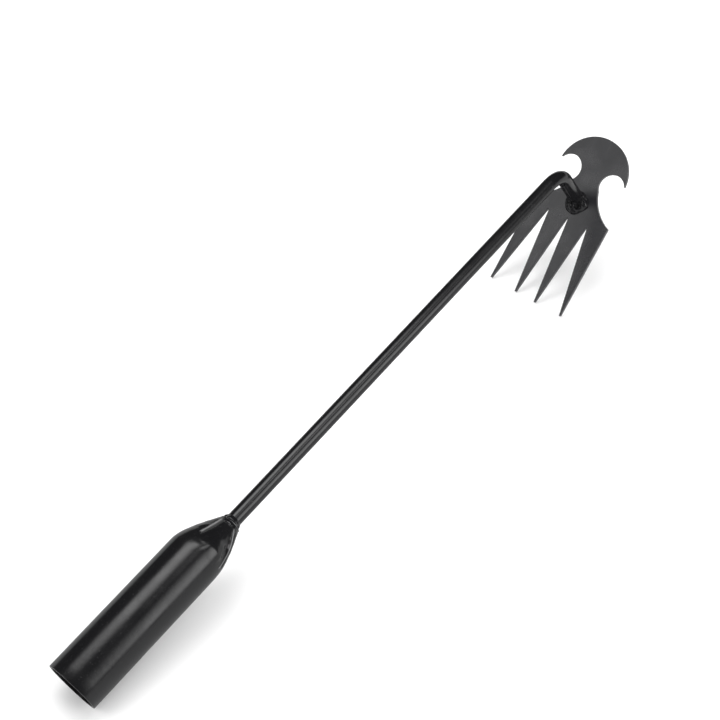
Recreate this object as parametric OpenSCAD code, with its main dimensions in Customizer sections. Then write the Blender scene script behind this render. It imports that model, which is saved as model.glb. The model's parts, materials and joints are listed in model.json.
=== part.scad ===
// Hand cultivator: a flat blade with four tines and a crescent hoe, welded to the cranked
// end of a round bar. The bar's other end is closed into the neck of a tubular socket that
// takes a wooden handle.
//
// The parts are drawn in the tool's own frame: the bar runs along +X from the socket's mouth
// at x = 0, and it is bent towards -Z. rest() then lays the whole tool on the floor, z = 0,
// the way it lies by itself: on the rim of the socket and on the tips of the tines.

/* [Socket] */
// Outside diameter of the socket tube
socket_d = 32; // [30:0.5:40]
// Wall thickness of the socket tube
socket_wall = 1.5; // [1:0.1:2]
// Length of the straight bore, from the mouth to the neck
bore_length = 94; // [60:1:140]
// Length of the neck that closes onto the bar
neck_length = 26; // [20:1:40]
// Outside diameter of the neck where it ends on the bar
neck_end_d = 12; // [11.5:0.1:14]
// Length at the neck's end where the folded metal is solid round the bar
neck_solid = 6; // [3:0.5:8]
// How far the socket's axis lies to the left of the bar's axis
socket_shift = 1.6; // [0:0.1:1.8]
// How far the socket's axis lies above the bar's axis
socket_rise = 0.8; // [0:0.1:1]

/* [Bar] */
// Diameter of the bar
bar_d = 8.6; // [7:0.1:9.4]
// Diameter of the bar's cranked end, which the bending has thickened a little
crank_d = 9.2; // [7.2:0.1:10]
// Distance from the socket's mouth to the corner of the crank
bar_reach = 424; // [300:1:600]
// Angle through which the bar is bent
bend_angle = 67; // [55:1:80]
// Radius of the bend, to the middle of the bar
bend_r = 18; // [12:1:22]
// Distance from the corner of the crank to the blade's face
crank = 46.4; // [40:0.1:60]
// Length of bar that is hidden in the neck
bar_grip = 20; // [12:1:24]

/* [Blade] */
// Thickness of the blade
blade_t = 3; // [2:0.1:4]
// Width of the blade across its four tines
blade_w = 56; // [50:0.2:60]
// Angle between the blade and the bar
blade_pitch = 34.2; // [25:0.1:45]
// Distance from the bar to the shoulders, towards the tips
shoulder_x = 8.6; // [6:0.2:12]
// Distance from the bar to the tips of the two outer tines
outer_tip_x = 71; // [55:0.5:80]
// Distance from the bar to the tips of the two inner tines
inner_tip_x = 71.3; // [55:0.1:80]
// Distance from the middle of the blade to each inner tip
inner_tip_y = 7.7; // [7:0.1:8.5]
// Distance from the bar to the root of the middle slit
middle_root_x = 13.4; // [9:0.1:16]
// Distance from the bar to the roots of the two outer slits
outer_root_x = 13.8; // [10:0.1:16]
// Distance from the middle of the blade to each outer root
outer_root_y = 14.85; // [14:0.05:15.5]
// Width of each tine at its blunted tip
tip_w = 0.7; // [0.4:0.1:1]
// Width of each slit at its root
root_w = 1.1; // [0.4:0.1:2]

/* [Crescent hoe] */
// Radius of the cutting edge
hoe_r = 24.3; // [23:0.1:24.5]
// Distance from the bar back to the centre of the cutting edge
hoe_x = 18.75; // [18:0.05:19.5]
// Radius of each notch behind the horns
notch_r = 8.75; // [8.5:0.05:9.5]
// Distance from the bar back to the centre of each notch
notch_x = 16.2; // [16:0.1:16.8]
// Distance from the middle of the blade to the centre of each notch
notch_y = 16.45; // [16:0.05:16.8]
// Radius of the hollow flank between a notch and a shoulder
flank_r = 30.1; // [29.8:0.1:31.2]
// Distance from the bar back to the centre of each flank
flank_x = 20.5; // [20.2:0.1:20.8]
// Distance from the middle of the blade to the centre of each flank
flank_y = 38.1; // [38:0.1:38.5]

/* [Welds] */
// Radius of the weld that holds the bar to the blade
blade_weld_r = 7.8; // [7:0.1:9]
// How far that weld climbs up the bar
blade_weld_h = 5.5; // [4:0.1:8]
// How far the middle of that weld lies from the bar, towards the tips
blade_weld_x = 2.4; // [0:0.1:2.5]
// How far the middle of that weld lies to the right of the bar
blade_weld_y = 1.6; // [0:0.1:2]
// Length of the weld between the neck and the bar
neck_weld_length = 4; // [2:0.5:8]
// Thickness of that weld at its far end
neck_weld_lip = 0.3; // [0.2:0.1:0.6]

/* [Hidden] */
round_fn = 96;
neck_fn = 48;
neck_rings = 9;
neck_curve = 1.4;
// How far the shoulder stands in from the tube, and how far joined pieces overlap
neck_step = 0.15;
lap = 0.2;
spare = 1;
paint = "#29292c";
blade_paint = "#4d4b4c";

socket_r = socket_d / 2;
bore_r = socket_r - socket_wall;
bar_r = bar_d / 2;
crank_r = crank_d / 2;
neck_end_x = bore_length + neck_length;
bar_start_x = neck_end_x - bar_grip;
bend_tangent = bend_r * tan(bend_angle / 2);
bend_start_x = bar_reach - bend_tangent;
blade_origin = [bar_reach + crank * cos(bend_angle), 0, -crank * sin(bend_angle)];
blade_back_x = hoe_x + hoe_r;

// The tool turns about the mouth until the rim's lowest point and the tines' lowest points
// are level.
rim_drop = socket_r - socket_rise;
tip_on_tool = blade_origin + blade_vector(inner_tip_x, -blade_t);
rest_tilt = atan((-rim_drop - tip_on_tool[2]) / tip_on_tool[0]);
floor_z = -rim_drop * cos(rest_tilt);
low_x = -(socket_r + socket_rise) * sin(rest_tilt);
hoe_on_tool = blade_origin + blade_vector(-blade_back_x, -blade_t);
high_x = hoe_on_tool[0] * cos(rest_tilt) - hoe_on_tool[2] * sin(rest_tilt);

// A step on the tool of `along` towards the tips and `out` towards the bar, off the blade's face
function blade_vector(along, out) = [
    -along * cos(blade_pitch) - out * sin(blade_pitch),
    0,
    -along * sin(blade_pitch) + out * cos(blade_pitch)
];

// Lays the tool on the floor, with the middle of its length and width over the origin
module rest() {
    translate([-(low_x + high_x) / 2, 0, -floor_z])
        rotate([0, -rest_tilt, 0])
            children();
}

// Puts what is drawn flat, with +X towards the tips, on the blade's face
module on_blade() {
    translate(blade_origin)
        rotate([0, -blade_pitch, 0])
            rotate([0, 0, 180])
                children();
}

// A cylinder along +X from x = from to x = to
module rod_x(r, from, to) {
    translate([from, 0, 0])
        rotate([0, 90, 0])
            cylinder(r = r, h = to - from, $fn = round_fn);
}

// --- Socket ---

// Outside radius of the neck, where u runs from 0 at the shoulder to 1 at its end
function neck_r(u) = neck_end_d / 2 + (socket_r - neck_step - neck_end_d / 2) * (1 - pow(u, neck_curve));

// One ring of the neck, inset by `wall` from its outside
function neck_ring(x, u, wall) = [
    for (i = [0:neck_fn - 1])
        let (turn = 360 * i / neck_fn, r = neck_r(u) - wall)
        [
            x,
            socket_shift * (1 - u) + r * cos(turn),
            socket_rise * (1 - u) + r * sin(turn)
        ]
];

// The rings of the neck's surface, from a little inside the straight tube to u = end
function neck_surface(end, wall) = [
    neck_ring(bore_length - lap, 0, wall),
    for (k = [0:neck_rings])
        let (u = end * k / neck_rings)
        neck_ring(bore_length + u * neck_length, u, wall)
];

// A closed solid through a list of rings that follow one another along +X
module loft(rings) {
    n = len(rings[0]);
    last = len(rings) - 1;
    near_cap = [for (i = [0:n - 1]) i];
    far_cap = [for (i = [n - 1:-1:0]) last * n + i];
    sides = [
        for (k = [0:last - 1], i = [0:n - 1])
            [k * n + i, (k + 1) * n + i, (k + 1) * n + (i + 1) % n, k * n + (i + 1) % n]
    ];
    polyhedron(
        points = [for (ring = rings) each ring],
        faces = concat([near_cap, far_cap], sides),
        convexity = 4
    );
}

module socket() {
    color(paint)
        rest()
            difference() {
                union() {
                    translate([0, socket_shift, socket_rise])
                        rod_x(socket_r, 0, bore_length);
                    loft(neck_surface(1, 0));
                }
                translate([0, socket_shift, socket_rise])
                    rod_x(bore_r, -spare, bore_length);
                loft(neck_surface(1 - neck_solid / neck_length, socket_wall));
                rod_x(bar_r, bar_start_x, neck_end_x + spare);
            }
}

// --- Bar ---

// The origin moves to the centre of the bend, where the bar comes in on +X and turns towards +Y
module at_bend() {
    translate([bend_start_x, 0, -bend_r])
        rotate([-90, 0, 0])
            rotate([0, 0, -90])
                children();
}

// The straight bar, from inside the neck to the bend
module bar_stem() {
    translate([bend_r, 0, 0])
        rotate([90, 0, 0])
            cylinder(r = bar_r, h = bend_start_x - bar_start_x, $fn = round_fn);
}

module bar_bend() {
    rotate_extrude(angle = bend_angle, $fn = round_fn)
        translate([bend_r, 0])
            circle(r = bar_r, $fn = round_fn);
}

// The cranked end, which starts a little inside the bend and runs `length` beyond it
module bar_end(length) {
    rotate([0, 0, bend_angle])
        translate([bend_r, -lap, 0])
            rotate([-90, 0, 0])
                cylinder(r = crank_r, h = lap + length, $fn = round_fn);
}

module shaft() {
    color(paint)
        rest()
            difference() {
                at_bend()
                    union() {
                        bar_stem();
                        bar_bend();
                        bar_end(crank - bend_tangent + crank_r);
                    }
                on_blade()
                    translate([-crank_d, -crank_d, -2 * crank_d])
                        cube(2 * crank_d);
            }
}

// --- Blade ---

// The four tines and the plate that joins them, back to the middle of the notches
module fork_outline() {
    half_w = blade_w / 2;
    half_tip = tip_w / 2;
    half_root = root_w / 2;
    // One side of the outline, from the middle slit outwards
    side = [
        [middle_root_x, half_root],
        [inner_tip_x, inner_tip_y - half_tip],
        [inner_tip_x, inner_tip_y + half_tip],
        [outer_root_x, outer_root_y - half_root],
        [outer_root_x, outer_root_y + half_root],
        [outer_tip_x, half_w - tip_w],
        [outer_tip_x, half_w],
        [-notch_x, half_w]
    ];
    last = len(side) - 1;
    other_side = [for (i = [0:last]) [side[last - i][0], -side[last - i][1]]];
    polygon(concat(side, other_side));
}

// The hollow beside the blade's waist, from the middle of a notch towards the tips
module flank_cut() {
    intersection() {
        translate([-flank_x, flank_y])
            circle(r = flank_r, $fn = round_fn);
        translate([-notch_x, 0])
            square([shoulder_x + notch_x, flank_y]);
    }
}

module blade_outline() {
    difference() {
        union() {
            fork_outline();
            translate([-hoe_x, 0])
                circle(r = hoe_r, $fn = round_fn);
        }
        for (side = [0, 1])
            mirror([0, side]) {
                translate([-notch_x, notch_y])
                    circle(r = notch_r, $fn = round_fn);
                flank_cut();
            }
    }
}

module blade() {
    color(blade_paint)
        rest()
            on_blade()
                translate([0, 0, -blade_t])
                    linear_extrude(blade_t)
                        blade_outline();
}

// --- Welds ---

// A ring of weld that runs from the neck's end down to the bar
module neck_weld() {
    color(paint)
        rest()
            translate([neck_end_x, 0, 0])
                rotate([0, 90, 0])
                    rotate_extrude($fn = round_fn)
                        polygon([
                            [bar_r, 0],
                            [neck_end_d / 2, 0],
                            [bar_r + neck_weld_lip, neck_weld_length],
                            [bar_r, neck_weld_length]
                        ]);
}

// A mound of weld round the foot of the bar, heaviest towards the tips and the right
module blade_weld() {
    steps = 8;
    mound = [for (k = [0:steps]) [blade_weld_r * cos(90 * k / steps), blade_weld_h * sin(90 * k / steps)]];
    color(paint)
        rest()
            difference() {
                on_blade()
                    translate([blade_weld_x, blade_weld_y, 0])
                        rotate_extrude($fn = round_fn)
                            polygon(concat([[0, 0]], mound));
                at_bend()
                    bar_end(crank);
            }
}

socket();
shaft();
blade();
neck_weld();
blade_weld();
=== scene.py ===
"""The looks of a hand cultivator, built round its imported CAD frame.

Sizes are in millimetres in the tool's own frame: +X runs along the bar from the mouth of the
socket, +Y is the tool's left, and the bar is cranked towards -Z. TOOL takes them to metres in
the row frame, in which the floor, the lights and the camera are given. Angles are in degrees,
and those round the bar start at +Y and turn towards +Z.
"""

import json
import math

import bmesh
import bpy
from mathutils import Matrix, Vector, noise

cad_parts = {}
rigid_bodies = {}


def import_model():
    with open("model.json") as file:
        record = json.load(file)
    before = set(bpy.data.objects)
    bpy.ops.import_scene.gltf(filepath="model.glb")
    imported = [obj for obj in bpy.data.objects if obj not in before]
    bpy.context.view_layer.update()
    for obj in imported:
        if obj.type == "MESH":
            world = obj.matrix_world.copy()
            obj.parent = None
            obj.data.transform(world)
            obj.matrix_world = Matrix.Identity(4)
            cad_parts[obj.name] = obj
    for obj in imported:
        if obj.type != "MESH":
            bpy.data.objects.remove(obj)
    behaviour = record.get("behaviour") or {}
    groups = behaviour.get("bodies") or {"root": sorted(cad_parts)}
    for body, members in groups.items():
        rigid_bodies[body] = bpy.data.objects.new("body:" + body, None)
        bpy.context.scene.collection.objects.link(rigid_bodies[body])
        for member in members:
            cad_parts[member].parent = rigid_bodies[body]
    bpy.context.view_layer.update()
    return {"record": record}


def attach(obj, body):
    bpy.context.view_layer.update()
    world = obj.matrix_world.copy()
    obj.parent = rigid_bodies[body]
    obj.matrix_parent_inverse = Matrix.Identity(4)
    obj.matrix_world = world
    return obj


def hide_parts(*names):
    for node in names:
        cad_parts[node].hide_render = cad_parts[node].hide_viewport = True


MM = 0.001

# Socket, and how far the middle of its tube lies to the left of the bar's middle and above it
SOCKET_R = 16.0
SOCKET_SHIFT = 1.6
SOCKET_RISE = 0.8
RIM_ROUND = 0.5
# Its mouth isn't quite square: opposite the angle MOUTH_FRONT it is cut back by MOUTH_CUT, and the
# skin takes that up over MOUTH_SPREAD
MOUTH_CUT = 1.35
MOUTH_FRONT = 118.0
MOUTH_SPREAD = 8.0
# Its neck, which closes from the tube to the bar and is solid over its last stretch. Its shoulder
# is rounded by the mean radius at the samples, as shares of SHOULDER_SPREAD to either side
NECK_LENGTH = 26.0
NECK_END_R = 6.0
NECK_CURVE = 1.4
NECK_SOLID = 6.0
SHOULDER_SPREAD = 3.2
SHOULDER_SAMPLES = (-1.0, -0.6, -0.2, 0.2, 0.6, 1.0)
# Points round its skin, steps along each stretch of it, and how far from the end of the tube the
# rings of the shoulder, of the tube and of the hollow neck start or end
SOCKET_SEGMENTS = 432
NECK_STEPS = 104
SHOULDER_STEPS = 15
SHOULDER_START = 0.5
SHOULDER_END = 8.0
TUBE_STEPS = 12
TUBE_START = 12.0
RIM_STEPS = 5
BORE_STEPS = 12
HOLLOW_STEPS = 20
HOLLOW_START = 1.0

# Folds of the neck, as (x, angle) along each. The front is pressed in between the left and the
# right fold, and the back is the same half a turn away
LEFT_FOLD = ((94.0, 88.0), (103.0, 86.5), (112.0, 86.0), (118.0, 81.0))
INNER_FOLD = ((94.0, 156.0), (101.0, 157.0), (107.0, 150.0), (118.0, 146.0))
RIGHT_FOLD = ((94.0, 176.0), (107.5, 175.0), (112.0, 167.0), (118.0, 148.0))
# How far a face is pressed towards its chord, and the x over which that grows
PRESS_SHARE = 0.72
PRESS_X = (99.5, 111.0)
# How much later the middle of a face starts to close, and the x over which that fades
FACE_DELAY = 5.0
FACE_DELAY_FADE = (118.0, 103.0)
# Ridges and grooves along the folds: (fold, distance from it, height, width on the left and on the
# right, x of the two ends, length of each end's slope)
FOLD_LINES = (
    (LEFT_FOLD, 0.1, 0.95, 1.0, 0.4, 102.2, 118.5, 0.8),
    (LEFT_FOLD, 1.1, -0.7, 0.4, 4.0, 102.8, 118.5, 1.2),
    (INNER_FOLD, 0.0, 0.22, 1.4, 0.7, 95.0, 109.0, 5.0),
    (INNER_FOLD, 2.0, -0.5, 0.9, 1.6, 97.0, 110.0, 5.0),
    (RIGHT_FOLD, 0.0, 0.35, 0.8, 0.5, 95.0, 118.5, 3.0),
    (RIGHT_FOLD, 2.0, -0.7, 0.8, 1.2, 96.0, 118.5, 3.0),
)
# Painted highlights: lines of light grey along fold crests, standing in for the light they catch:
# (fold, distance from it, x of its two ends, share of the grey)
PAINTED_HIGHLIGHT_LINES = (
    (LEFT_FOLD, -0.1, 102.6, 118.0, 1.0),
    (RIGHT_FOLD, 0.0, 95.5, 118.5, 0.9),
)
PAINTED_HIGHLIGHT_WIDTH = 0.36
PAINTED_HIGHLIGHT_EASE = 1.5
# Faint waves in the neck's skin, which grow over WAVE_EASE from the end of the tube
WAVE_HEIGHT = 0.16
WAVE_SCALE = 0.28
WAVE_EASE = 6.0

# Bar: it starts BAR_GRIP inside the neck, whose skin stays BAR_CLEARANCE off it. The lines of its
# straight part and of its crank meet at BAR_REACH
BAR_R = 4.3
BAR_GRIP = 20.0
BAR_CLEARANCE = 0.3
BAR_CHAMFER = 0.5
BAR_LEAD = 4.0
BAR_REACH = 424.0
BEND_ANGLE = 67.0
BEND_R = 18.0
CRANK = 46.4
# How much thicker its crank is, and the angle of the bend at which that starts
SWELL = 0.34
SWELL_START = 20.0
BAR_SEGMENTS = 64
BAR_STEPS = 40
BEND_STEPS = 32
CRANK_STEPS = 10

# Blade, in its own frame: +X to the tips and +Y to the tool's right, with circles as (x, y, r)
BLADE_T = 3.0
BLADE_W = 56.0
BLADE_PITCH = 34.2
OUTER_TIP_X = 71.0
INNER_TIP = (71.3, 7.7)
MIDDLE_ROOT_X = 13.4
OUTER_ROOT = (13.8, 14.85)
TIP_W = 0.7
ROOT_R = 0.55
HOE = (-18.75, 0.0, 24.3)
NOTCH = (-16.2, 16.45, 8.75)
FLANK = (-20.5, 38.1, 30.1)
EDGE_ROUND = 0.22
EDGE_ANGLE = 40.0
ROOT_STEPS = 8
FLANK_STEPS = 24
HOE_STEPS = 36

# Weld of the blade, in the blade's frame. Its outline round the foot of the bar is given as
# (angle from the tips towards the right, radius). Its edge lies WELD_SINK under the face, and its
# last ring is at WELD_MIDDLE of the way out
WELD_OUTLINE = (
    (0.0, 9.9), (15.0, 10.2), (40.0, 8.9), (60.0, 8.8), (82.0, 9.3), (97.0, 8.2), (134.0, 6.4),
    (180.0, 6.0), (240.0, 6.3), (283.0, 7.0), (321.0, 8.5), (340.0, 9.7), (360.0, 9.9),
)
WELD_H = 4.2
WELD_SINK = 0.05
WELD_EDGE_POWER = 2.4
WELD_CRATER = (3.3, 3.4)
WELD_CRATER_R = 1.9
WELD_CRATER_DEPTH = 3.2
WELD_RIPPLE = 0.42
WELD_RIPPLE_PITCH = 2.3
WELD_RIPPLE_START = (0.8, 2.0)
WELD_LUMP = 1.1
WELD_LUMP_SCALE = 0.38
WELD_LUMP_SLICE = 3.0
WELD_SEGMENTS = 180
WELD_STEPS = 64
WELD_MIDDLE = 0.02

# Weld of the neck: a ring that goes down from NECK_WELD_PROUD over the neck's end to
# NECK_WELD_SINK under the bar's skin, with ripples that fade on the way
NECK_WELD_X = (117.4, 123.6)
NECK_WELD_PROUD = 0.2
NECK_WELD_SINK = 0.1
NECK_WELD_CURVE = 0.8
NECK_RIPPLE = 0.38
NECK_RIPPLE_X = 118.4
NECK_RIPPLE_PITCH = 1.75
NECK_RIPPLE_SWAY = 0.9
NECK_RIPPLE_FADE = (121.8, 120.4)
NECK_LUMP = 0.6
NECK_LUMP_ALONG = 0.5
NECK_LUMP_ROUND = 2.6
NECK_WELD_SEGMENTS = 192
NECK_WELD_STEPS = 56
# Painted glints on its crests: patches of light grey that stand in for reflections, as (x, angle, half
# its length in degrees).
# The higher CREST_POWER, the closer they keep to the crests
NECK_PAINTED_GLINTS = (
    (118.4, 108.0, 11.0), (118.3, 147.0, 8.0), (120.1, 136.0, 22.0), (119.4, 66.0, 9.0),
    (119.9, 235.0, 22.0), (118.4, 310.0, 14.0), (120.0, 20.0, 12.0),
)
NECK_GLINT_WIDTH = 0.6
CREST_POWER = 4

# Gloss paint: linear colours, scales in waves to the metre, and heights in metres. A _RANGE is the
# stretch of a noise over which its effect grows, and a _CHANGE is how far the roughness goes below
# and above the given one. The bloom is BLOOM times lighter
BLACK = (0.0066, 0.0066, 0.0072)
BLOOM = 1.35
BLOOM_SCALE = 45
PAINT_ROUGHNESS = 0.19
WELD_ROUGHNESS = 0.11
DULL_SCALE = 70
DULL_RANGE = (0.35, 0.7)
DULL_CHANGE = (-0.02, 0.05)
PEEL_SCALE = 420
PEEL_HEIGHT = 0.00002
GRAIN_SCALE = 1500
GRAIN_RANGE = (0.7, 0.78)
GRAIN_COLOUR = (0.03, 0.03, 0.031)
GRAIN_HEIGHT = 0.00002
# Light grey painted in as highlights on fold crests and as glints on weld ripples
PAINTED_HIGHLIGHT_GREY = (0.2, 0.2, 0.202)

# Satin coat of the blade, in the same units. The mottle is MOTTLE times lighter, and the rolling
# marks go MARK_SHARE of the way to their grey
STEEL_GREY = (0.0115, 0.0115, 0.0135)
EDGE_GREY = (0.05, 0.05, 0.052)
MARK_GREY = (0.05, 0.049, 0.05)
FACE_ROUGHNESS = 0.27
EDGE_ROUGHNESS = 0.38
SATIN_DULL_RANGE = (0.3, 0.7)
SATIN_DULL_CHANGE = (-0.03, 0.04)
MOTTLE = 1.25
MOTTLE_SCALE = 160
MOTTLE_RANGE = (0.3, 0.72)
MARK_SHARE = 0.3
MARK_RANGE = (0.6, 0.8)
ROLL_SCALE = 1100
ROLL_STRETCH = (0.06, 1.0, 0.06)
SATIN_SCALE = 2200
SATIN_HEIGHT = 0.000012

# Floor: its greys where the paint mirrors it, on the tool's right and on its left
FLOOR_SIZE = 12.0
FLOOR_WHITE = 0.9
MIRRORED_GREYS = (0.45, 0.4)
GREY_SPAN = (-0.02, 0.05)

# Softboxes: (name, centre, point it faces, size, radiance, how far its edges fade in)
EVEN_FADES = (0.5, 0.5, 0.5, 0.5)
SOFTBOXES = (
    ("overhead_softbox", (0.04, 0.44, 1.5), (0.04, 0.44, 0), (0.96, 1.6), 3.35, (0.3, 0.3, 0.4, 0.45)),
    ("ceiling_bounce", (0.24, -0.53, 1.5), (0.24, -0.53, 0), (0.85, 0.8), 2.7, EVEN_FADES),
    ("blade_softbox", (-1.3, 0.85, 1.5), (-1.3, 0.85, 0), (1.4, 1.4), 2.0, (0.3, 0.35, 0.3, 0.3)),
    ("shoulder_bounce", (0.55, -0.46, 1.5), (0.55, -0.46, 0), (0.8, 1.0), 1.6, EVEN_FADES),
    ("side_softbox", (0.39, -1.6, 1.2), (0.39, 0, 1.2), (1.3, 2.4), 2.7, (0.25, 0.25, 0.2, 0.75)),
)
# Power of an area light, in watts to the square metre, for a radiance of 1
RADIANCE_POWER = 4.0

# Camera: it looks down at a point on the floor
CAMERA_AIM = (0.04463, 0.04643, 0.0)
CAMERA_DISTANCE = 0.9452
CAMERA_HEADING = 40.518
CAMERA_DOWN = 47.569
CAMERA_ROLL = 0.011
CAMERA_LENS = 75.0


# --- Frame ---


def clear_scene():
    """Remove Blender's default objects."""
    for obj in list(bpy.data.objects):
        bpy.data.objects.remove(obj)


def tool_matrix(mount):
    """The tool's own frame in the row frame, from the mount at the socket's mouth."""
    along = -Vector(mount["axis"]).normalized()
    left = Vector((0.0, 1.0, 0.0))
    up = along.cross(left)
    origin = Vector(mount["pos_m"]) - MM * (SOCKET_SHIFT * left + SOCKET_RISE * up)
    turn = Matrix((along, left, up)).transposed().to_4x4()
    return Matrix.Translation(origin) @ turn @ Matrix.Scale(MM, 4)


clear_scene()
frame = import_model()
BORE_MOUNT = frame["record"]["mounts"][0]
BORE_R = BORE_MOUNT["dims"]["r_mm"]
BORE_LENGTH = BORE_MOUNT["dims"]["length_mm"]
WALL = SOCKET_R - BORE_R
NECK_END_X = BORE_LENGTH + NECK_LENGTH
TOOL = tool_matrix(BORE_MOUNT)


# --- Helpers ---


def smooth_step(start, end, value):
    """0 at `start`, 1 at `end`, and a smooth change between them, whichever is greater."""
    t = min(max((value - start) / (end - start), 0.0), 1.0)
    return t * t * (3 - 2 * t)


def hump(centre, width, value):
    """A smooth hump of height 1 round `centre`."""
    return math.exp(-(((value - centre) / width) ** 2))


def steps(start, end, count):
    """count + 1 numbers from start to end."""
    return [start + (end - start) * i / count for i in range(count + 1)]


def value_on(knots, x):
    """The value at x on the straight lines through the (x, value) knots."""
    for (x0, v0), (x1, v1) in zip(knots, knots[1:]):
        if x <= x1:
            return v0 + (v1 - v0) * (x - x0) / (x1 - x0)
    return knots[-1][1]


def turned(value):
    """An angle brought between -180 and 180."""
    return (value + 180) % 360 - 180


def angle_on(circle, point):
    """The angle at which a point lies from the middle of a circle (x, y, ...)."""
    return math.degrees(math.atan2(point[1] - circle[1], point[0] - circle[0])) % 360


def add_piece(name, points, faces, matrix, crease=35.0):
    """A mesh object of points in `matrix`'s frame, smooth where faces meet at under `crease`."""
    mesh = bpy.data.meshes.new(name)
    mesh.from_pydata([matrix @ Vector(p) for p in points], [], faces)
    shell = bmesh.new()
    shell.from_mesh(mesh)
    bmesh.ops.recalc_face_normals(shell, faces=shell.faces)
    shell.to_mesh(mesh)
    shell.free()
    mesh.shade_smooth()
    mesh.set_sharp_from_angle(angle=math.radians(crease))
    obj = bpy.data.objects.new(name, mesh)
    bpy.context.scene.collection.objects.link(obj)
    return obj


def skin(rings):
    """Points and faces of a closed skin through rings of equal length, with a fan over each end."""
    count = len(rings[0])
    points = [p for ring in rings for p in ring]
    faces = []
    for k in range(len(rings) - 1):
        here, there = k * count, (k + 1) * count
        for i in range(count):
            j = (i + 1) % count
            faces.append((here + i, here + j, there + j, there + i))
    for ring_start, ring in ((0, rings[0]), (len(points) - count, rings[-1])):
        centre = len(points)
        points.append(tuple(sum((Vector(p) for p in ring), Vector()) / count))
        faces += [(ring_start + i, ring_start + (i + 1) % count, centre) for i in range(count)]
    return points, faces


def mark_painted_highlight(piece, share_at):
    """Store the painted highlight's share at each point of a piece, for its material."""
    to_tool = TOOL.inverted()
    marks = piece.data.attributes.new("rubbed", "FLOAT", "POINT")
    for vertex, mark in zip(piece.data.vertices, marks.data):
        mark.value = share_at(to_tool @ vertex.co)


# --- Socket ---


def cone_radius(x):
    """Radius of the tube and of the cone that closes it, with a sharp shoulder."""
    if x <= BORE_LENGTH:
        return SOCKET_R
    closed = min((x - BORE_LENGTH) / NECK_LENGTH, 1.0)
    return NECK_END_R + (SOCKET_R - NECK_END_R) * (1 - closed**NECK_CURVE)


def neck_radius(x):
    """Radius of the socket's skin before it was pressed, with its shoulder rounded."""
    spread = min(SHOULDER_SPREAD, NECK_END_X - x)
    radii = [cone_radius(x + spread * share) for share in SHOULDER_SAMPLES]
    return sum(radii) / len(radii)


def face_change(x, away, half, full):
    """How far the press moves a face's skin out, at an angle from its middle to its folds."""
    delay = FACE_DELAY * smooth_step(*FACE_DELAY_FADE, x)
    fuller = neck_radius(x - delay * math.cos(math.pi / 2 * away / half) ** 2) - full
    chord = full * math.cos(math.radians(half)) / math.cos(math.radians(away))
    return fuller - PRESS_SHARE * smooth_step(*PRESS_X, x) * (full - chord)


def fold_height(x, turn, full):
    """Height of the ridges and grooves along the front face's folds, at an angle round the neck."""
    total = 0.0
    for fold, distance, height, left_width, right_width, start, end, ease in FOLD_LINES:
        reach = math.radians(turned(turn - value_on(fold, x))) * full
        width = left_width if reach < distance else right_width
        strength = smooth_step(start, start + ease, x) * smooth_step(end, end - ease, x)
        total += strength * height * hump(distance, width, reach)
    return total


def pressed_radius(x, turn):
    """Radius of the socket's skin at an angle round it, with the neck's two pressed faces."""
    full = neck_radius(x)
    if x <= BORE_LENGTH - SHOULDER_SPREAD:
        return full
    around = math.radians(turn)
    wave = noise.noise(WAVE_SCALE * Vector((x, full * math.cos(around), full * math.sin(around))))
    radius = full + WAVE_HEIGHT * wave * smooth_step(BORE_LENGTH, BORE_LENGTH + WAVE_EASE, x)
    left, right = value_on(LEFT_FOLD, x), value_on(RIGHT_FOLD, x)
    middle, half = (left + right) / 2, (right - left) / 2
    for side in (0, 180):
        away = turned(turn - side - middle)
        if abs(away) < half:
            radius += face_change(x, away, half, full)
        radius += fold_height(x, turn - side, full)
    return max(radius, BAR_R + BAR_CLEARANCE)


def socket_middle(x):
    """The (y, z) of the socket's middle line, which runs over to the bar's along the neck."""
    off = 1 - max((x - BORE_LENGTH) / NECK_LENGTH, 0.0)
    return SOCKET_SHIFT * off, SOCKET_RISE * off


def socket_ring(x, inset=0.0):
    """One ring of the socket's skin, `inset` inside its outside."""
    middle_y, middle_z = socket_middle(x)
    cut = MOUTH_CUT * max(1 - x / MOUTH_SPREAD, 0.0)
    ring = []
    for i in range(SOCKET_SEGMENTS):
        turn = 360.0 * i / SOCKET_SEGMENTS
        radius = pressed_radius(x, turn) - inset
        ring.append((
            x + cut * (1 - math.cos(math.radians(turn - MOUTH_FRONT))) / 2,
            middle_y + radius * math.cos(math.radians(turn)),
            middle_z + radius * math.sin(math.radians(turn)),
        ))
    return ring


def rim_rings():
    """Rings over the rim, from the outside of the tube to its bore, with both edges rounded."""
    rings = []
    for start, end, edge in ((15, 90, RIM_ROUND), (90, 165, WALL - RIM_ROUND)):
        for angle in steps(start, end, RIM_STEPS):
            turn = math.radians(angle)
            x = RIM_ROUND * (1 - math.sin(turn))
            rings.append(socket_ring(x, edge - RIM_ROUND * math.cos(turn)))
    return rings


def painted_highlight_on_socket(point):
    """How much painted highlight a point of the neck gets, from 0 to 1: lines along the folds' crests.
    """
    x, y, z = point
    if x < BORE_LENGTH:
        return 0.0
    turn = angle_on(socket_middle(x), (y, z))
    share = 0.0
    for fold, distance, start, end, most in PAINTED_HIGHLIGHT_LINES:
        ends = smooth_step(start, start + PAINTED_HIGHLIGHT_EASE, x) * smooth_step(end, end - PAINTED_HIGHLIGHT_EASE, x)
        for side in (0, 180):
            reach = math.radians(turned(turn - side - value_on(fold, x))) * neck_radius(x)
            share += most * ends * hump(distance, PAINTED_HIGHLIGHT_WIDTH, reach)
    return share


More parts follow.
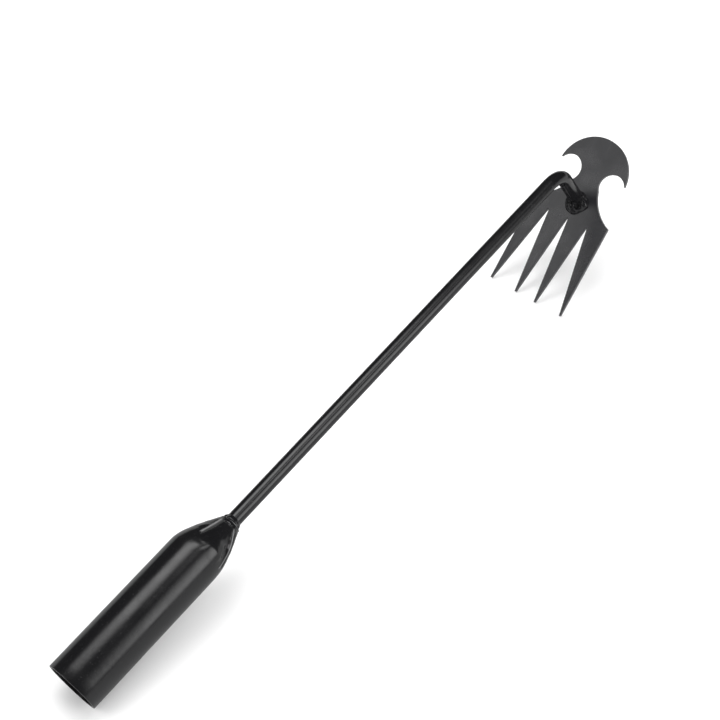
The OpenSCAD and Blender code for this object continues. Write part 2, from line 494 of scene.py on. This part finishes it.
def build_socket():
    """The socket as one closed skin: down its outside, over its rim and back up its bore."""
    rings = []
    for start, end, count in (
        (NECK_END_X, BORE_LENGTH, NECK_STEPS),
        (BORE_LENGTH - SHOULDER_START, BORE_LENGTH - SHOULDER_END, SHOULDER_STEPS),
        (BORE_LENGTH - TUBE_START, RIM_ROUND, TUBE_STEPS),
    ):
        rings += [socket_ring(x) for x in steps(start, end, count)]
    rings += rim_rings()
    for start, end, count in (
        (RIM_ROUND, BORE_LENGTH, BORE_STEPS),
        (BORE_LENGTH + HOLLOW_START, NECK_END_X - NECK_SOLID, HOLLOW_STEPS),
    ):
        rings += [socket_ring(x, WALL) for x in steps(start, end, count)]
    piece = add_piece("socket_tube", *skin(rings), TOOL, crease=50)
    # Painted highlights: light grey lines along the folds' crests
    mark_painted_highlight(piece, painted_highlight_on_socket)
    piece.data.materials.append(gloss_paint("socket_paint", PAINT_ROUGHNESS, rubbed=True))
    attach(piece, "root")
    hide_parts("socket")


# --- Bar ---


def bar_stations():
    """(centre, angle below +X, radius) of each ring of the bar, from in the neck to the blade."""
    tangent = BEND_R * math.tan(math.radians(BEND_ANGLE) / 2)
    start, bend_start = NECK_END_X - BAR_GRIP, BAR_REACH - tangent
    stations = [
        ((start, 0, 0), 0.0, BAR_R - BAR_CHAMFER),
        ((start + BAR_CHAMFER, 0, 0), 0.0, BAR_R),
    ]
    for x in steps(start + BAR_LEAD, bend_start, BAR_STEPS):
        stations.append(((x, 0, 0), 0.0, BAR_R))
    for angle in steps(0, BEND_ANGLE, BEND_STEPS)[1:]:
        turn = math.radians(angle)
        centre = (bend_start + BEND_R * math.sin(turn), 0, -BEND_R * (1 - math.cos(turn)))
        swell = SWELL * smooth_step(SWELL_START, BEND_ANGLE, angle)
        stations.append((centre, angle, BAR_R + swell))
    turn = math.radians(BEND_ANGLE)
    for reach in steps(tangent, CRANK, CRANK_STEPS)[1:]:
        centre = (BAR_REACH + reach * math.cos(turn), 0, -reach * math.sin(turn))
        stations.append((centre, BEND_ANGLE, BAR_R + SWELL))
    return stations


def bar_ring(centre, angle, radius):
    """One ring of the bar, square to its middle line where that runs `angle` below +X."""
    turn = math.radians(angle)
    up = Vector((math.sin(turn), 0, math.cos(turn)))
    left = Vector((0, 1, 0))
    ring = []
    for i in range(BAR_SEGMENTS):
        around = 2 * math.pi * i / BAR_SEGMENTS
        out = math.cos(around) * left + math.sin(around) * up
        ring.append(tuple(Vector(centre) + radius * out))
    return ring


def build_bar():
    """The round bar, from inside the neck, through its bend, down to the blade's face."""
    rings = [bar_ring(*station) for station in bar_stations()]
    piece = add_piece("bar", *skin(rings), TOOL, crease=40)
    piece.data.materials.append(gloss_paint("bar_paint", PAINT_ROUGHNESS))
    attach(piece, "root")
    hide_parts("shaft")


# --- Blade ---


def blade_matrix():
    """The blade's own frame, from where the bar lands on its face, with +Z out of the face."""
    turn = math.radians(BEND_ANGLE)
    landing = Vector((BAR_REACH + CRANK * math.cos(turn), 0, -CRANK * math.sin(turn)))
    pitch = Matrix.Rotation(math.radians(-BLADE_PITCH), 4, "Y")
    half_turn = Matrix.Rotation(math.pi, 4, "Z")
    return TOOL @ Matrix.Translation(landing) @ pitch @ half_turn


def crossing(first, second, side):
    """Where two circles cross: left (1) or right (-1) of the line from the first to the second."""
    start, end = Vector(first[:2]), Vector(second[:2])
    gap = (end - start).length
    along = (gap**2 + first[2] ** 2 - second[2] ** 2) / (2 * gap)
    height = math.sqrt(first[2] ** 2 - along**2)
    direction = (end - start) / gap
    return start + along * direction + side * height * Vector((-direction.y, direction.x))


def arc(circle, start, end, count):
    """count + 1 points on a circle from one angle to another."""
    x, y, r = circle
    turns = [math.radians(angle) for angle in steps(start, end, count)]
    return [(x + r * math.cos(turn), y + r * math.sin(turn)) for turn in turns]


def slit_root(x, y, start, end):
    """The round end of a slit, from one of its sides to the other."""
    return arc((x, y, ROOT_R), start, end, ROOT_STEPS)


def half_outline():
    """The blade's outline on its +Y side, from the middle slit's root to the back of the hoe."""
    half_w = BLADE_W / 2
    tip_x, tip_y = INNER_TIP
    horn = crossing(HOE, NOTCH, 1)
    waist = crossing(NOTCH, FLANK, -1)
    shoulder_x = FLANK[0] + math.sqrt(FLANK[2] ** 2 - (FLANK[1] - half_w) ** 2)
    points = slit_root(MIDDLE_ROOT_X + ROOT_R, 0, 180, 90)
    points += [(tip_x, tip_y - TIP_W / 2), (tip_x, tip_y + TIP_W / 2)]
    points += slit_root(OUTER_ROOT[0] + ROOT_R, OUTER_ROOT[1], 270, 90)
    points += [(OUTER_TIP_X, half_w - TIP_W), (OUTER_TIP_X, half_w)]
    shoulder = angle_on(FLANK, (shoulder_x, half_w))
    points += arc(FLANK, shoulder, angle_on(FLANK, waist), FLANK_STEPS)
    points += arc(NOTCH, angle_on(NOTCH, waist), angle_on(NOTCH, horn), HOE_STEPS)[1:]
    points += arc(HOE, angle_on(HOE, horn), 180, HOE_STEPS)[1:]
    return points


def build_blade():
    """The flat plate with four tines and a crescent hoe, with its edges just rounded."""
    half = half_outline()
    outline = half + [(x, -y) for x, y in half[-2:0:-1]]
    count = len(outline)
    points = [(x, y, 0.0) for x, y in outline] + [(x, y, -BLADE_T) for x, y in outline]
    faces = [tuple(range(count)), tuple(range(2 * count - 1, count - 1, -1))]
    for i in range(count):
        j = (i + 1) % count
        faces.append((i, j, count + j, count + i))
    piece = add_piece("fork_blade", points, faces, blade_matrix())
    edges = piece.modifiers.new("edge_round", "BEVEL")
    edges.width = EDGE_ROUND * MM
    edges.segments = 2
    edges.limit_method = "ANGLE"
    edges.angle_limit = math.radians(EDGE_ANGLE)
    edges.harden_normals = True
    piece.data.materials.append(satin_paint("blade_paint", STEEL_GREY, FACE_ROUGHNESS))
    piece.data.materials.append(satin_paint("blade_edge", EDGE_GREY, EDGE_ROUGHNESS))
    out_of_face = blade_matrix().to_3x3().col[2].normalized()
    for face in piece.data.polygons:
        on_edge = abs(face.normal.dot(out_of_face)) < 0.5
        face.material_index = 1 if on_edge else 0
    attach(piece, "root")
    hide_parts("blade")


# --- Welds ---


def neck_bead(x, direction):
    """The lumps and the ripples of the neck's weld at x, in a direction round the bar."""
    lump = noise.noise(Vector((x * NECK_LUMP_ALONG, 0, 0)) + direction * NECK_LUMP_ROUND)
    along = (x - NECK_RIPPLE_X + NECK_RIPPLE_SWAY * lump) / NECK_RIPPLE_PITCH
    return lump, math.cos(2 * math.pi * along) * smooth_step(*NECK_RIPPLE_FADE, x)


def painted_glint_on_neck_weld(point):
    """How much painted glint a point of the neck's weld gets: in patches along its crests."""
    ripple = neck_bead(point.x, Vector((0, point.y, point.z)).normalized())[1]
    turn = angle_on((0, 0), (point.y, point.z))
    share = 0.0
    for x, angle, half in NECK_PAINTED_GLINTS:
        share += hump(x, NECK_GLINT_WIDTH, point.x) * hump(0, half, turned(turn - angle))
    return min(share, 1.0) * max(ripple, 0.0) ** CREST_POWER


def neck_weld_ring(share):
    """One ring of the neck's weld, at a share of its length from the socket."""
    start, end = NECK_WELD_X
    x = start + (end - start) * share
    step_down = NECK_END_R + NECK_WELD_PROUD - BAR_R
    slope = step_down * math.cos(share * math.pi / 2) ** NECK_WELD_CURVE
    crown = math.sin(share * math.pi)
    ring = []
    for i in range(NECK_WELD_SEGMENTS):
        around = 2 * math.pi * i / NECK_WELD_SEGMENTS
        direction = Vector((0, math.cos(around), math.sin(around)))
        lump, ripple = neck_bead(x, direction)
        bead = crown * (NECK_LUMP * lump + NECK_RIPPLE * ripple)
        radius = BAR_R - NECK_WELD_SINK + slope + bead
        ring.append((x, radius * direction.y, radius * direction.z))
    return ring


def build_neck_weld():
    """A ring of weld round the end of the neck, laid in ripples."""
    rings = [neck_weld_ring(share) for share in steps(0, 1, NECK_WELD_STEPS)]
    piece = add_piece("neck_weld_bead", *skin(rings), TOOL, crease=60)
    # Painted glints: light grey patches on the ripples' crests
    mark_painted_highlight(piece, painted_glint_on_neck_weld)
    piece.data.materials.append(gloss_paint("weld_paint", WELD_ROUGHNESS, rubbed=True))
    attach(piece, "root")
    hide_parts("neck_weld")


def weld_height(x, y):
    """Height of the blade's weld over its face, before its edge."""
    from_crater = math.hypot(x - WELD_CRATER[0], y - WELD_CRATER[1])
    crater = WELD_CRATER_DEPTH * hump(0, WELD_CRATER_R, from_crater)
    ripple = math.sin(2 * math.pi * from_crater / WELD_RIPPLE_PITCH)
    ripple *= WELD_RIPPLE * smooth_step(*WELD_RIPPLE_START, from_crater)
    lump = WELD_LUMP * noise.noise(WELD_LUMP_SCALE * Vector((x, y, WELD_LUMP_SLICE)))
    return WELD_H - crater + ripple + lump


def blade_weld_ring(share):
    """One ring of the blade's weld, at a share of the way from its middle to its edge."""
    rise = math.sqrt(1 - share**WELD_EDGE_POWER)
    ring = []
    for i in range(WELD_SEGMENTS):
        angle = 360 * i / WELD_SEGMENTS
        reach = value_on(WELD_OUTLINE, angle) * share
        x = reach * math.cos(math.radians(angle))
        y = reach * math.sin(math.radians(angle))
        ring.append((x, y, rise * weld_height(x, y) - WELD_SINK))
    return ring


def build_blade_weld():
    """A rippled bead of weld round the foot of the bar, with a crater where it ended."""
    rings = [blade_weld_ring(share) for share in steps(1, WELD_MIDDLE, WELD_STEPS)]
    piece = add_piece("blade_weld_bead", *skin(rings), blade_matrix(), crease=60)
    piece.data.materials.append(gloss_paint("weld_paint", WELD_ROUGHNESS))
    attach(piece, "root")
    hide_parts("blade_weld")


# --- Materials ---


def noise_field(tree, scale, detail, stretch=(1, 1, 1)):
    """A noise over the piece, of `scale` waves to the metre along each axis times its stretch."""
    nodes, links = tree.nodes, tree.links
    where = nodes.new("ShaderNodeTexCoord")
    squeeze = nodes.new("ShaderNodeMapping")
    squeeze.inputs["Scale"].default_value = stretch
    field = nodes.new("ShaderNodeTexNoise")
    field.inputs["Scale"].default_value = scale
    field.inputs["Detail"].default_value = detail
    links.new(where.outputs["Object"], squeeze.inputs["Vector"])
    links.new(squeeze.outputs["Vector"], field.inputs["Vector"])
    return field.outputs["Fac"]


def smooth_ramp(tree, value, low, high, out_low, out_high):
    """`value` mapped smoothly from between low and high to between out_low and out_high."""
    node = tree.nodes.new("ShaderNodeMapRange")
    node.interpolation_type = "SMOOTHSTEP"
    for end, number in (
        ("From Min", low),
        ("From Max", high),
        ("To Min", out_low),
        ("To Max", out_high),
    ):
        node.inputs[end].default_value = number
    tree.links.new(value, node.inputs["Value"])
    return node.outputs["Result"]


def colour_mix(tree, share, first, second):
    """A colour that goes from `first`, a colour or a socket, to the colour `second`."""
    node = tree.nodes.new("ShaderNodeMix")
    node.data_type = "RGBA"
    tree.links.new(share, node.inputs["Factor"])
    if isinstance(first, tuple):
        node.inputs["A"].default_value = (*first, 1)
    else:
        tree.links.new(first, node.inputs["A"])
    node.inputs["B"].default_value = (*second, 1)
    return node.outputs["Result"]


def patchy_colour(tree, share, colour, lightest):
    """`colour` made lighter by `share`, up to `lightest` times."""
    return colour_mix(tree, share, colour, tuple(lightest * c for c in colour))


def patchy_roughness(tree, roughness, noise_range, change):
    """A roughness that goes from the low to the high end of `change` in soft patches."""
    patches = noise_field(tree, DULL_SCALE, 4.0)
    low, high = change
    return smooth_ramp(tree, patches, *noise_range, roughness + low, roughness + high)


def bump_normal(tree, height, distance, below=None):
    """A bump `distance` metres high, over the normal `below`."""
    node = tree.nodes.new("ShaderNodeBump")
    node.inputs["Distance"].default_value = distance
    tree.links.new(height, node.inputs["Height"])
    if below is not None:
        tree.links.new(below, node.inputs["Normal"])
    return node.outputs["Normal"]


def new_material(name):
    """A material with nodes, its tree and its shader."""
    material = bpy.data.materials.new("sprayed_" + name)
    material.use_nodes = True
    return material, material.node_tree, material.node_tree.nodes["Principled BSDF"]


def gloss_paint(name, roughness, rubbed=False):
    """Thick black gloss paint: orange peel, a dull bloom in patches, and grains of dust in it.

    With its last argument set, a light grey is painted in where the mesh's point attribute says:
    painted highlights and glints on crests.
    """
    material, tree, shader = new_material(name)
    grains = smooth_ramp(tree, noise_field(tree, GRAIN_SCALE, 1.0), *GRAIN_RANGE, 0, 1)
    colour = patchy_colour(tree, noise_field(tree, BLOOM_SCALE, 3.0), BLACK, BLOOM)
    colour = colour_mix(tree, grains, colour, GRAIN_COLOUR)
    if rubbed:
        # Painted highlights and glints: the colour goes towards a light grey as the mesh's attribute
        # says
        mark = tree.nodes.new("ShaderNodeAttribute")
        mark.attribute_name = "rubbed"
        colour = colour_mix(tree, mark.outputs["Fac"], colour, PAINTED_HIGHLIGHT_GREY)
    dull = patchy_roughness(tree, roughness, DULL_RANGE, DULL_CHANGE)
    peel = bump_normal(tree, noise_field(tree, PEEL_SCALE, 1.0), PEEL_HEIGHT)
    tree.links.new(colour, shader.inputs["Base Color"])
    tree.links.new(dull, shader.inputs["Roughness"])
    tree.links.new(bump_normal(tree, grains, GRAIN_HEIGHT, peel), shader.inputs["Normal"])
    return material


def satin_paint(name, colour, roughness):
    """A thin satin coat over rolled plate: mottled, with faint rolling marks along the plate."""
    material, tree, shader = new_material(name)
    mottle = smooth_ramp(tree, noise_field(tree, MOTTLE_SCALE, 4.0), *MOTTLE_RANGE, 0, 1)
    rolling = noise_field(tree, ROLL_SCALE, 2.0, ROLL_STRETCH)
    marks = smooth_ramp(tree, rolling, *MARK_RANGE, 0, MARK_SHARE)
    mottled = patchy_colour(tree, mottle, colour, MOTTLE)
    dull = patchy_roughness(tree, roughness, SATIN_DULL_RANGE, SATIN_DULL_CHANGE)
    grain = bump_normal(tree, noise_field(tree, SATIN_SCALE, 2.0), SATIN_HEIGHT)
    tree.links.new(colour_mix(tree, marks, mottled, MARK_GREY), shader.inputs["Base Color"])
    tree.links.new(dull, shader.inputs["Roughness"])
    tree.links.new(bump_normal(tree, rolling, SATIN_HEIGHT, grain), shader.inputs["Normal"])
    return material


# --- Stage ---


def build_floor():
    """A plain white floor. The paint mirrors it as the grey that it is at a lower exposure."""
    bpy.ops.mesh.primitive_plane_add(size=FLOOR_SIZE)
    floor = bpy.context.object
    floor.name = "floor"
    material = bpy.data.materials.new("floor_white")
    material.use_nodes = True
    nodes, links = material.node_tree.nodes, material.node_tree.links
    nodes.remove(nodes["Principled BSDF"])
    white = nodes.new("ShaderNodeBsdfDiffuse")
    white.inputs["Color"].default_value = (FLOOR_WHITE, FLOOR_WHITE, FLOOR_WHITE, 1)
    grey = nodes.new("ShaderNodeBsdfDiffuse")
    place = nodes.new("ShaderNodeTexCoord")
    axes = nodes.new("ShaderNodeSeparateXYZ")
    links.new(place.outputs["Object"], axes.inputs["Vector"])
    level = smooth_ramp(material.node_tree, axes.outputs["Y"], *GREY_SPAN, *MIRRORED_GREYS)
    links.new(level, grey.inputs["Color"])
    ray = nodes.new("ShaderNodeLightPath")
    mix = nodes.new("ShaderNodeMixShader")
    links.new(ray.outputs["Is Glossy Ray"], mix.inputs["Fac"])
    links.new(white.outputs["BSDF"], mix.inputs[1])
    links.new(grey.outputs["BSDF"], mix.inputs[2])
    links.new(mix.outputs["Shader"], nodes["Material Output"].inputs["Surface"])
    floor.data.materials.append(material)


def fade_edges(tree, fades):
    """Make a light, by its node tree, fade out towards its edges.

    `fades` are the shares of its width and height over which each edge fades: the low and the
    high end of its width, then of its height.
    """
    nodes, links = tree.nodes, tree.links
    place = nodes.new("ShaderNodeNewGeometry")
    axes = nodes.new("ShaderNodeSeparateXYZ")
    links.new(place.outputs["Parametric"], axes.inputs["Vector"])
    level = None
    for axis, edge, inner in (
        ("X", 0, fades[0]),
        ("X", 1, 1 - fades[1]),
        ("Y", 0, fades[2]),
        ("Y", 1, 1 - fades[3]),
    ):
        fade = smooth_ramp(tree, axes.outputs[axis], edge, inner, 0, 1)
        if level is None:
            level = fade
            continue
        product = nodes.new("ShaderNodeMath")
        product.operation = "MULTIPLY"
        links.new(level, product.inputs[0])
        links.new(fade, product.inputs[1])
        level = product.outputs["Value"]
    links.new(level, nodes["Emission"].inputs["Strength"])


def add_softbox(name, centre, aim, size, radiance, fades):
    """A rectangular light at `centre` that faces `aim`, with `radiance` at its brightest."""
    width, height = size
    light = bpy.data.lights.new(name, "AREA")
    light.shape = "RECTANGLE"
    light.size = width
    light.size_y = height
    light.energy = RADIANCE_POWER * radiance * width * height
    light.use_nodes = True
    fade_edges(light.node_tree, fades)
    obj = bpy.data.objects.new(name, light)
    obj.location = centre
    obj.rotation_mode = "QUATERNION"
    obj.rotation_quaternion = (Vector(aim) - Vector(centre)).to_track_quat("-Z", "Y")
    obj.visible_camera = False
    bpy.context.scene.collection.objects.link(obj)


def build_world():
    """A white room, which the paint doesn't mirror: it mirrors only the softboxes and the floor."""
    world = bpy.data.worlds.new("studio")
    world.use_nodes = True
    world.node_tree.nodes["Background"].inputs["Color"].default_value = (1, 1, 1, 1)
    world.cycles_visibility.glossy = False
    bpy.context.scene.world = world


def build_camera():
    """The camera, turned about its line of sight by CAMERA_ROLL."""
    heading, down = math.radians(CAMERA_HEADING), math.radians(CAMERA_DOWN)
    forward = Vector((
        math.cos(heading) * math.cos(down),
        math.sin(heading) * math.cos(down),
        -math.sin(down),
    ))
    camera = bpy.data.objects.new("camera", bpy.data.cameras.new("camera"))
    camera.data.lens = CAMERA_LENS
    camera.location = Vector(CAMERA_AIM) - CAMERA_DISTANCE * forward
    camera.rotation_mode = "QUATERNION"
    roll = Matrix.Rotation(math.radians(CAMERA_ROLL), 3, forward).to_quaternion()
    camera.rotation_quaternion = roll @ forward.to_track_quat("-Z", "Y")
    bpy.context.scene.collection.objects.link(camera)
    bpy.context.scene.camera = camera


build_socket()
build_bar()
build_blade()
build_neck_weld()
build_blade_weld()
build_floor()
for softbox in SOFTBOXES:
    add_softbox(*softbox)
build_world()
build_camera()
bpy.context.scene.view_settings.view_transform = "Standard"

bpy.context.view_layer.update()
